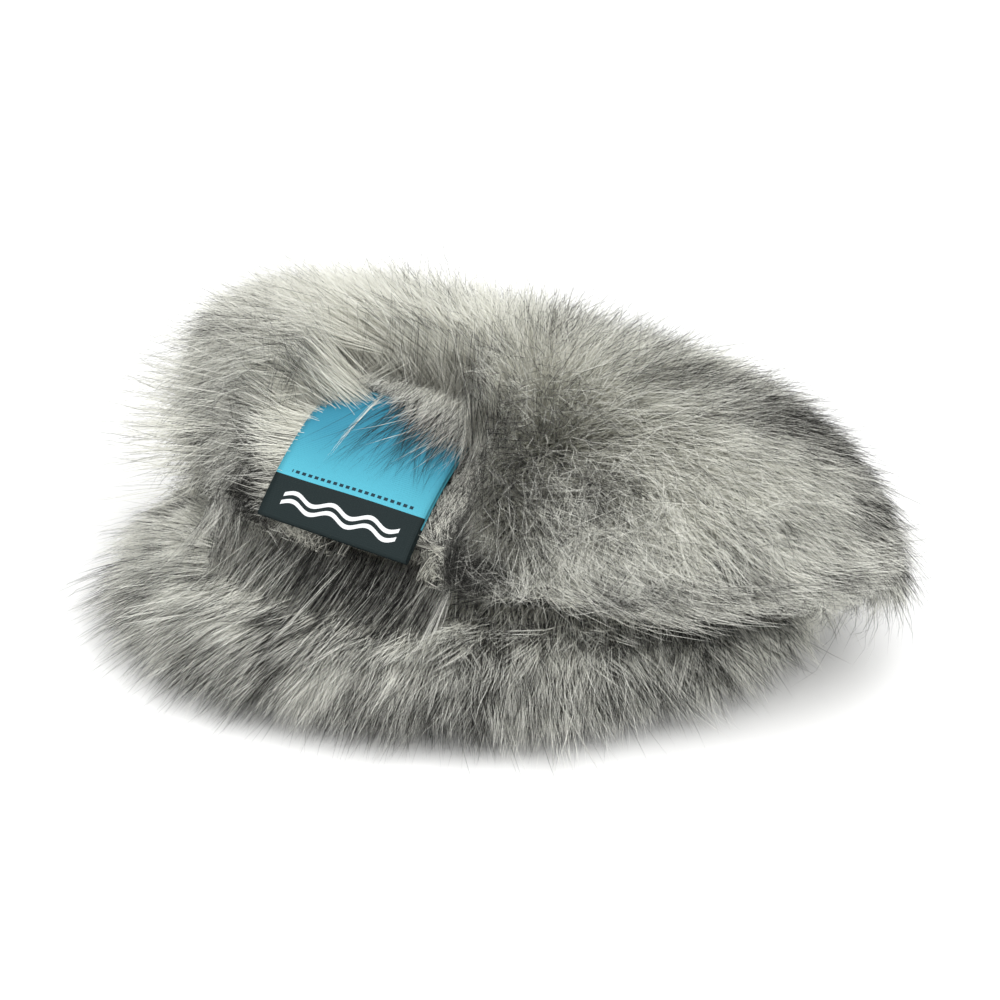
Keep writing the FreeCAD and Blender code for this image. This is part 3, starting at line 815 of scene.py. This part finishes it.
def closed_sheet(name, middle, normal, thickness, material, uv=None):
    """A sheet with two faces and four edges, from a grid of points on its middle surface."""
    rows, columns = middle.shape[:2]
    face, back = middle + normal * thickness / 2, middle - normal * thickness / 2
    points = np.concatenate([face.reshape(-1, 3), back.reshape(-1, 3)])
    index = np.arange(rows * columns).reshape(rows, columns)
    under = index + rows * columns
    faces, corners_uv = [], []

    def quad(a, b, c, d, places):
        faces.append((a, b, c, d))
        corners_uv.extend(places)

    for r in range(rows - 1):
        for c in range(columns - 1):
            cell = [(r, c), (r, c + 1), (r + 1, c + 1), (r + 1, c)]
            quad(*(index[k] for k in cell), cell)
            turned = cell[::-1]
            quad(*(under[k] for k in turned), turned)
    ring = ([(0, c) for c in range(columns)] + [(r, columns - 1) for r in range(1, rows)]
            + [(rows - 1, c) for c in range(columns - 2, -1, -1)]
            + [(r, 0) for r in range(rows - 2, 0, -1)])
    for k, start in enumerate(ring):
        end = ring[(k + 1) % len(ring)]
        quad(index[end], index[start], under[start], under[end], [end, start, start, end])
    mesh = bpy.data.meshes.new(name)
    mesh.from_pydata(points.tolist(), [], faces)
    if uv is not None:
        layer = mesh.uv_layers.new(name=STRAND_UV)
        layer.data.foreach_set("uv", np.array([uv[k] for k in corners_uv], np.float32).ravel())
    mesh.polygons.foreach_set("use_smooth", np.ones(len(faces), bool))
    mesh.update()
    mesh.materials.append(material)
    piece = bpy.data.objects.new(name, mesh)
    bpy.context.scene.collection.objects.link(piece)
    return piece


DOME_RINGS, DOME_SPOKES = 30, 120


def dome(name, bag, upper, material):
    """One half of the bag's cloth: a dome cut back to the lip along the mouth."""
    angle = np.linspace(0, 2 * math.pi, DOME_SPOKES + 1)
    at_mouth = np.sin(angle) * BAG_HALF[1] < MOUTH_Y - BAG_CENTRE[1]
    half = bag.half - CLOTH / 2
    reach = np.where(at_mouth, math.sqrt(1 - (LIP / half[2]) ** 2), 1.0)
    rho = np.linspace(0.002, 1, DOME_RINGS)[:, None] * reach[None, :]
    rise = np.sqrt(np.clip(1 - rho ** 2, 0, 1)) * (1 if upper else -1)
    middle = bag.centre + half * np.stack([rho * np.cos(angle), rho * np.sin(angle), rise], -1)
    middle[..., 2] += SEAM_GAP if upper else -SEAM_GAP
    return closed_sheet(name, middle, bag.normal(middle), CLOTH, material)


def bag_cloth(material):
    """The knitted bag under the hair: two domes joined round the left, back and right."""
    upper = dome("bag_cloth", UPPER_BAG, True, material)
    lower = dome("bag_cloth_lower", LOWER_BAG, False, material)
    with bpy.context.temp_override(active_object=upper, selected_editable_objects=[upper, lower]):
        bpy.ops.object.join()
    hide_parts("upper_backing", "lower_backing")
    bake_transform(upper)
    return upper


def knit_material():
    """Plain dark jersey with fine ribs."""
    material, tree, shader = new_material("knit_backing", roughness=0.9, specular=0.15)
    place = add(tree, "TexCoord").outputs["Object"]
    rib = add(tree, "TexWave", {"Vector": place, "Scale": 900.0, "Distortion": 1.5}, bands_direction="X")
    mottle = add(tree, "TexNoise", {"Vector": place, "Scale": 120.0, "Detail": 3.0})
    depth = math_node(tree, "MULTIPLY", rib.outputs["Fac"], mottle.outputs["Fac"])
    colour = ramp(tree, depth, [(0.0, (0.035, 0.035, 0.033)), (0.7, (0.11, 0.11, 0.105))])
    tree.links.new(colour, shader.inputs["Base Color"])
    return material


# ---------------------------------------------------------------- label

LABEL_COLUMNS = 24
LABEL_SKEW = 0.05


def label_tape(material):
    """The folded tape: front leaf from the root to the fold, then the back leaf to the root."""
    leaf = LABEL_RADIUS * LABEL_ARC
    bend = (TAPE + TAPE_GAP) / 2
    turn = math.pi * bend
    length = 2 * leaf + turn
    # the rows bunch up at the fold, so that it is round
    s = np.unique(np.concatenate([np.linspace(0, leaf, 56), leaf + turn * np.linspace(0, 1, 10),
                                  leaf + turn + np.linspace(0, leaf, 56)]))
    x = np.linspace(-0.5, 0.5, LABEL_COLUMNS) * (LABEL_WIDTH - TAPE)
    centre_height = -TAPE - TAPE_GAP / 2
    front, back = s <= leaf, s >= leaf + turn
    around = np.clip((s - leaf) / turn, 0, 1) * math.pi
    height = centre_height + bend * np.cos(around)
    end = LABEL_ARC - (bend + TAPE / 2) / LABEL_RADIUS
    angle = np.where(front, s / leaf * end, np.where(back, (length - s) / leaf * end, end))
    angle = angle + bend * np.sin(around) / LABEL_RADIUS
    grid_x, grid_angle = np.meshgrid(x, angle)
    grid_angle = grid_angle * (1 + LABEL_SKEW * (grid_x / LABEL_WIDTH + 0.5))
    grid_height = np.broadcast_to(height[:, None], grid_x.shape)
    # the leaves are not quite flat: they lift a little between the root and the fold
    ripple = np.sin(grid_x / LABEL_WIDTH * 7.0 + 0.8)
    belly = 0.35 * MM * ripple * np.sin(grid_angle / LABEL_ARC * math.pi)
    middle = from_label(grid_x, grid_angle, grid_height + belly)
    down = np.gradient(middle, axis=0)
    across = np.gradient(middle, axis=1)
    normal = unit(np.cross(across, down))
    outward = from_label(0.0, 0.0, 1.0) - from_label(0.0, 0.0, 0.0)
    if normal[0, 0] @ outward < 0:
        normal = -normal
    uv = {}
    for r in range(len(s)):
        for c in range(LABEL_COLUMNS):
            uv[(r, c)] = (0.01 + 0.98 * c / (LABEL_COLUMNS - 1), 0.01 + 0.98 * s[r] / length)
    piece = closed_sheet("woven_label_tape", middle, normal, TAPE, material, uv)
    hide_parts("label_tape")
    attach(piece, "label")
    return piece, length


# places on the tape, as shares of its whole length: the dark band, and the stripes in it
BAND_START, BAND_END = 0.372, 0.60
STRIPE_LEVEL, STRIPE_WAVES, STRIPE_SWING = 0.438, 4.0, 0.010


def window(tree, value, low_edge, high_edge):
    """1 where value lies between the two edges."""
    above = math_node(tree, "GREATER_THAN", value, low_edge)
    below = math_node(tree, "LESS_THAN", value, high_edge)
    return math_node(tree, "MULTIPLY", above, below)


def label_material():
    """Satin tape: blue field with painted shade towards its root, dark band at the fold, and a pale
    stripe motif woven in the band.
    """
    material, tree, shader = new_material("woven_label", roughness=0.6, specular=0.15)
    place = add(tree, "UVMap", uv_map=STRAND_UV)
    split = add(tree, "SeparateXYZ", {"Vector": place.outputs["UV"]})
    u, v = split.outputs["X"], split.outputs["Y"]
    # the blue darkens towards the tape's root, where the hair lies over it: painted shade of the hair
    blue = ramp(tree, v, [(0.0, (0.030, 0.20, 0.31)), (0.2, (0.045, 0.255, 0.365)),
                          (0.37, (0.085, 0.40, 0.51)), (0.5, (0.080, 0.375, 0.485))])
    dark = (0.010, 0.018, 0.019, 1.0)
    in_band = window(tree, v, BAND_START, BAND_END)
    field = blend_colours(tree, in_band, blue, dark)
    # two wavy stripes in the band, and a thin dashed line on the blue just above it
    wave = math_node(tree, "SINE", math_node(tree, "MULTIPLY", u, STRIPE_WAVES * 2 * math.pi))
    swung = math_node(tree, "MULTIPLY", wave, STRIPE_SWING)
    beside = math_node(tree, "SUBTRACT", v, swung)
    upper = window(tree, beside, STRIPE_LEVEL - 0.019, STRIPE_LEVEL - 0.007)
    lower = window(tree, beside, STRIPE_LEVEL + 0.005, STRIPE_LEVEL + 0.017)
    stripes = math_node(tree, "ADD", upper, lower)
    motif = math_node(tree, "MULTIPLY", stripes, window(tree, u, 0.12, 0.88))
    pale = blend_colours(tree, motif, field, (0.72, 0.74, 0.75, 1.0))
    beat = math_node(tree, "SINE", math_node(tree, "MULTIPLY", u, 150.0))
    dash = math_node(tree, "GREATER_THAN", beat, -0.3)
    dashes = math_node(tree, "MULTIPLY", dash, window(tree, v, BAND_START - 0.022, BAND_START - 0.013))
    line = math_node(tree, "MULTIPLY", dashes, window(tree, u, 0.10, 0.90))
    pale = blend_colours(tree, line, pale, (0.012, 0.035, 0.05, 1.0))
    threads = add(tree, "TexNoise", {"Vector": place.outputs["UV"], "Scale": 260.0, "Detail": 2.0})
    shade = ramp(tree, threads.outputs["Fac"], [(0.3, (0.86, 0.86, 0.86)), (0.7, (1.0, 1.0, 1.0))])
    colour = blend_colours(tree, 1.0, pale, shade, "MULTIPLY")
    tree.links.new(colour, shader.inputs["Base Color"])
    weft = add(tree, "TexWave", {"Vector": place.outputs["UV"], "Scale": 55.0}, bands_direction="Y")
    warp = add(tree, "TexWave", {"Vector": place.outputs["UV"], "Scale": 30.0}, bands_direction="X")
    weave = math_node(tree, "ADD", weft.outputs["Fac"], warp.outputs["Fac"])
    bump = add(tree, "Bump", {"Height": weave, "Strength": 0.25, "Distance": 0.0002})
    tree.links.new(bump.outputs["Normal"], shader.inputs["Normal"])
    return material


# ---------------------------------------------------------------- sewn parts kept from CAD

def spun_material(name, dark, light, scale, roughness, direction="DIAGONAL"):
    """Thread, tape or elastic: fine ridges in two tones."""
    material, tree, shader = new_material(name, roughness=roughness, specular=0.25)
    place = add(tree, "TexCoord").outputs["Object"]
    ridge = add(tree, "TexWave", {"Vector": place, "Scale": scale, "Distortion": 2.0},
                bands_direction=direction)
    colour = ramp(tree, ridge.outputs["Fac"], [(0.0, dark), (1.0, light)])
    tree.links.new(colour, shader.inputs["Base Color"])
    bump = add(tree, "Bump", {"Height": ridge.outputs["Fac"], "Strength": 0.3, "Distance": 0.0003})
    tree.links.new(bump.outputs["Normal"], shader.inputs["Normal"])
    return material


def dress(material, *nodes):
    """Give CAD nodes a new material."""
    for node in nodes:
        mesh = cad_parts[node].data
        mesh.materials.clear()
        mesh.materials.append(material)


# ---------------------------------------------------------------- floor, light, camera

def floor():
    """A plain pale floor, wide enough to fill the view."""
    material, _, shader = new_material("floor_white", roughness=0.9, specular=0.1)
    shader.inputs["Base Color"].default_value = (0.86, 0.86, 0.855, 1.0)
    bpy.ops.mesh.primitive_plane_add(size=12.0, location=(0, 0, 0))
    plane = bpy.context.object
    plane.name = "floor"
    plane.data.materials.append(material)


def direction(azimuth, elevation):
    """Towards a place round the object: azimuth 0 is the front, 90 the right."""
    a, e = math.radians(azimuth), math.radians(elevation)
    return Vector((math.sin(a) * math.cos(e), -math.cos(a) * math.cos(e), math.sin(e)))


def area_light(name, azimuth, elevation, distance, size, power):
    """A soft square lamp aimed at the object, placed by direction."""
    data = bpy.data.lights.new(name, "AREA")
    data.size = size
    data.energy = power
    lamp = bpy.data.objects.new(name, data)
    place = direction(azimuth, elevation)
    lamp.location = place * distance
    lamp.rotation_mode = "QUATERNION"
    lamp.rotation_quaternion = (-place).to_track_quat("-Z", "Y")
    bpy.context.scene.collection.objects.link(lamp)


def world_light(strength):
    """Even white light from all round."""
    world = bpy.data.worlds.new("studio")
    world.use_nodes = True
    background = world.node_tree.nodes["Background"]
    background.inputs["Color"].default_value = (1.0, 1.0, 1.0, 1.0)
    background.inputs["Strength"].default_value = strength
    bpy.context.scene.world = world


CAMERA_AZIMUTH, CAMERA_ELEVATION = 15.0, 30.0
CAMERA_DISTANCE, CAMERA_LENS = 1.10, 149.4
CAMERA_TARGET = np.array([-5.6, 3.0, 35.0]) * MM


def camera():
    """The photo's view."""
    back = direction(CAMERA_AZIMUTH, CAMERA_ELEVATION)
    data = bpy.data.cameras.new("photo_camera")
    data.lens = CAMERA_LENS
    data.clip_start, data.clip_end = 0.05, 50.0
    eye = bpy.data.objects.new("photo_camera", data)
    eye.location = Vector(CAMERA_TARGET) + back * CAMERA_DISTANCE
    eye.rotation_mode = "QUATERNION"
    eye.rotation_quaternion = (-back).to_track_quat("-Z", "Y")
    bpy.context.scene.collection.objects.link(eye)
    bpy.context.scene.camera = eye


# ---------------------------------------------------------------- the scene

hair = fur_material()
upper_pieces = upper_fur(hair)
lower_pieces = lower_fur(hair)
cover_pieces = label_cover(hair)
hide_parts("upper_pile")
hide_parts("lower_pile")

cloth = bag_cloth(knit_material())

tape, tape_length = label_tape(label_material())

binding = spun_material("hem_binding", (0.03, 0.03, 0.03), (0.075, 0.075, 0.07), 700.0, 0.85)
elastic = spun_material("elastic_band", (0.05, 0.05, 0.05), (0.16, 0.16, 0.15), 1500.0, 0.7, "X")
thread = spun_material("sewing_thread", (0.06, 0.06, 0.055), (0.22, 0.22, 0.20), 2500.0, 0.6)
label_thread = spun_material("label_thread", (0.04, 0.20, 0.30), (0.10, 0.42, 0.56), 2500.0, 0.5)
dress(binding, "upper_hem_casing", "lower_hem_casing", "seam_allowance")
dress(elastic, "upper_hem_elastic", "lower_hem_elastic")
dress(thread, "upper_hem_stitching", "lower_hem_stitching", "seam_thread",
      "left_bar_tack", "right_bar_tack")
dress(label_thread, "label_stitching")

floor()
world_light(1.0)
area_light("key", azimuth=60, elevation=62, distance=1.6, size=1.8, power=24)
area_light("fill", azimuth=-30, elevation=32, distance=1.8, size=1.6, power=8)
camera()
bpy.context.scene.view_settings.view_transform = "Standard"
